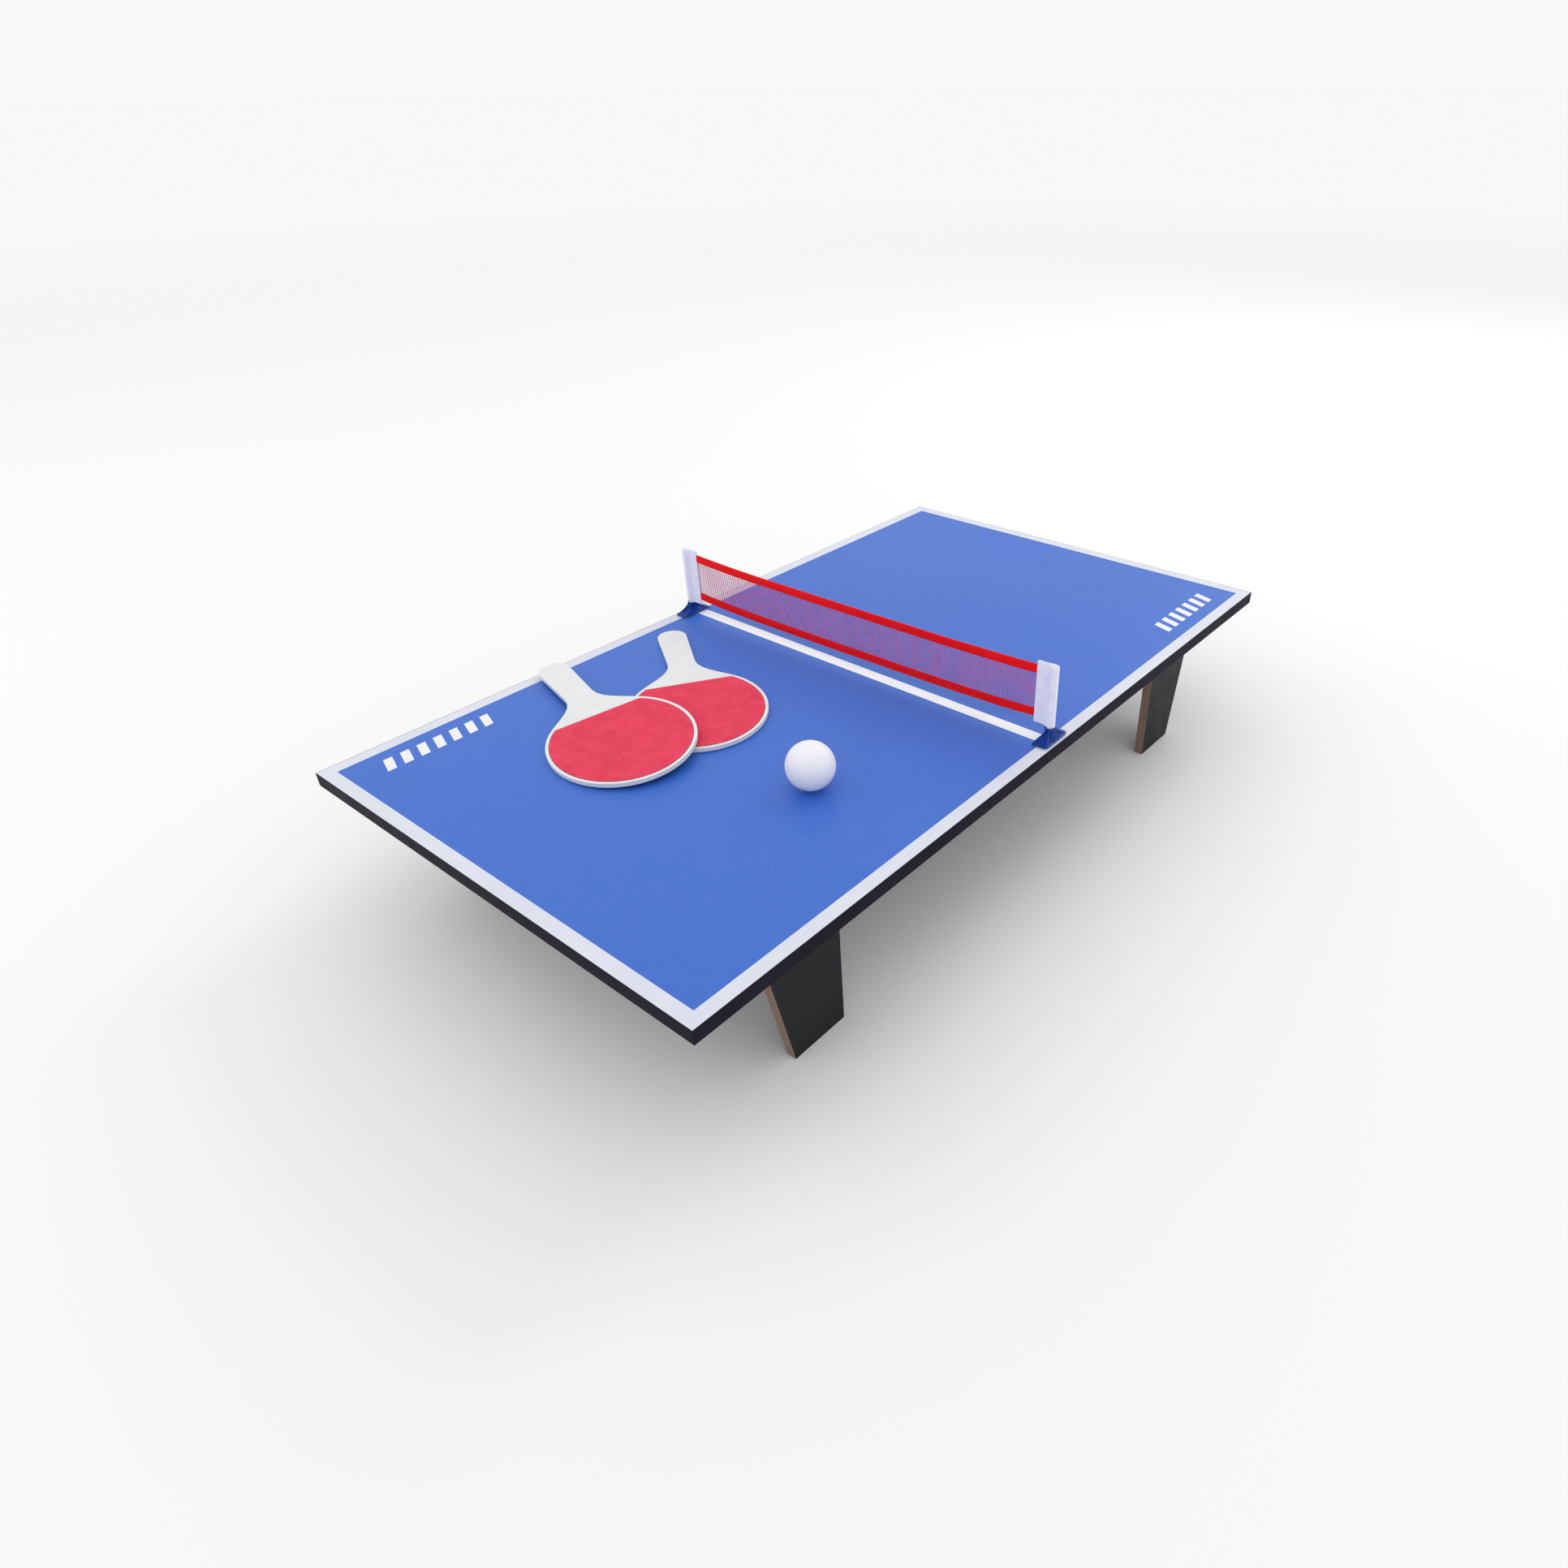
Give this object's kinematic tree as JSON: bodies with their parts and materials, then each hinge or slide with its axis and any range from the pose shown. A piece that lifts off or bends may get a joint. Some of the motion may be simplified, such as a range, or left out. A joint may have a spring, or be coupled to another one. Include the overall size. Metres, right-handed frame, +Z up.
{
  "type": "ping pong table",
  "caption": "Low table-top ping pong table with a blue lined court, folding board legs, a lift-out net on posts, rimmed bats with pimpled rubber, and a ball.",
  "frame": {"origin": "on the floor under the middle of the table top", "axes": "+X along the table's length, +Y across it towards the back, +Z up"},
  "size_m": [0.8, 0.45, 0.207],
  "materials": {
    "raw_board": "raw fibreboard",
    "court_blue": "satin printed foil",
    "court_white": "satin printed foil",
    "backing_black": "matt foil",
    "edge_black": "satin edge banding",
    "leg_black": "black foil over fibreboard, raw edges",
    "hinge_steel": "zinc plated",
    "pin_steel": "bright",
    "screw_steel": "zinc plated",
    "foam_pad": "closed-cell foam",
    "base_blue": "moulded, semi-gloss",
    "post_white": "moulded",
    "sleeve_white": "plain-woven cloth, stitched",
    "mesh_pink": "open net",
    "tape_red": "woven tape",
    "bat_white": "moulded, satin",
    "rubber_red": "pimpled rubber",
    "ball_white": "matt celluloid-like plastic"
  },
  "bodies": {
    "table": {"board_core": "raw_board", "court_foil": "court_blue", "centre_line": "court_white", "court_marks": "court_white", "backing_foil": "backing_black", "boundary_line_front": "court_white", "boundary_line_back": "court_white", "boundary_line_left": "court_white", "boundary_line_right": "court_white", "edge_band_front": "edge_black", "edge_band_back": "edge_black", "edge_band_left": "edge_black", "edge_band_right": "edge_black", "hinge_table_leaf_front_left": "hinge_steel", "hinge_table_leaf_front_right": "hinge_steel", "hinge_table_leaf_back_left": "hinge_steel", "hinge_table_leaf_back_right": "hinge_steel", "hinge_pin_front_left": "pin_steel", "hinge_pin_front_right": "pin_steel", "hinge_pin_back_left": "pin_steel", "hinge_pin_back_right": "pin_steel", "table_hinge_screws": "screw_steel", "net_pad_front": "foam_pad", "net_pad_back": "foam_pad", "net_base_front": "base_blue", "net_base_back": "base_blue"},
    "front_left_leg": {"leg_front_left": "leg_black", "hinge_leg_leaf_front_left": "hinge_steel", "leg_screws_front_left": "screw_steel"},
    "front_right_leg": {"leg_front_right": "leg_black", "hinge_leg_leaf_front_right": "hinge_steel", "leg_screws_front_right": "screw_steel"},
    "back_left_leg": {"leg_back_left": "leg_black", "hinge_leg_leaf_back_left": "hinge_steel", "leg_screws_back_left": "screw_steel"},
    "back_right_leg": {"leg_back_right": "leg_black", "hinge_leg_leaf_back_right": "hinge_steel", "leg_screws_back_right": "screw_steel"},
    "net": {"net_post_front": "post_white", "net_post_back": "post_white", "net_sleeve_front": "sleeve_white", "net_sleeve_back": "sleeve_white", "net_mesh": "mesh_pink", "net_top_tape": "tape_red", "net_bottom_tape": "tape_red"},
    "lower_bat": {"lower_bat_body": "bat_white", "lower_bat_front_rubber": "rubber_red", "lower_bat_back_rubber": "rubber_red"},
    "upper_bat": {"upper_bat_body": "bat_white", "upper_bat_front_rubber": "rubber_red", "upper_bat_back_rubber": "rubber_red"},
    "ball": {"ball": "ball_white"}
  },
  "joints": [
    {"name": "front_left_leg_fold", "type": "hinge", "parent": "table", "child": "front_left_leg", "pos_m": [-0.279, -0.186, 0.123], "axis": [1, 0, 0], "range_deg": [0, 90]},
    {"name": "front_right_leg_fold", "type": "hinge", "parent": "table", "child": "front_right_leg", "pos_m": [0.279, -0.186, 0.123], "axis": [1, 0, 0], "range_deg": [0, 90]},
    {"name": "back_left_leg_fold", "type": "hinge", "parent": "table", "child": "back_left_leg", "pos_m": [-0.279, 0.186, 0.123], "axis": [-1, 0, 0], "range_deg": [0, 90]},
    {"name": "back_right_leg_fold", "type": "hinge", "parent": "table", "child": "back_right_leg", "pos_m": [0.279, 0.186, 0.123], "axis": [-1, 0, 0], "range_deg": [0, 90]},
    {"name": "net_lift", "type": "slide", "parent": "table", "child": "net", "axis": [0, 0, 1], "range_m": [0, 0.05]},
    {"name": "lower_bat_lift", "type": "slide", "parent": "table", "child": "lower_bat", "axis": [0, 0, 1], "range_m": [0, 0.06]},
    {"name": "upper_bat_lift", "type": "slide", "parent": "lower_bat", "child": "upper_bat", "axis": [0, 0, 1], "range_m": [0, 0.05]},
    {"name": "ball_lift", "type": "slide", "parent": "table", "child": "ball", "axis": [0, 0, 1], "range_m": [0, 0.1]}
  ]
}
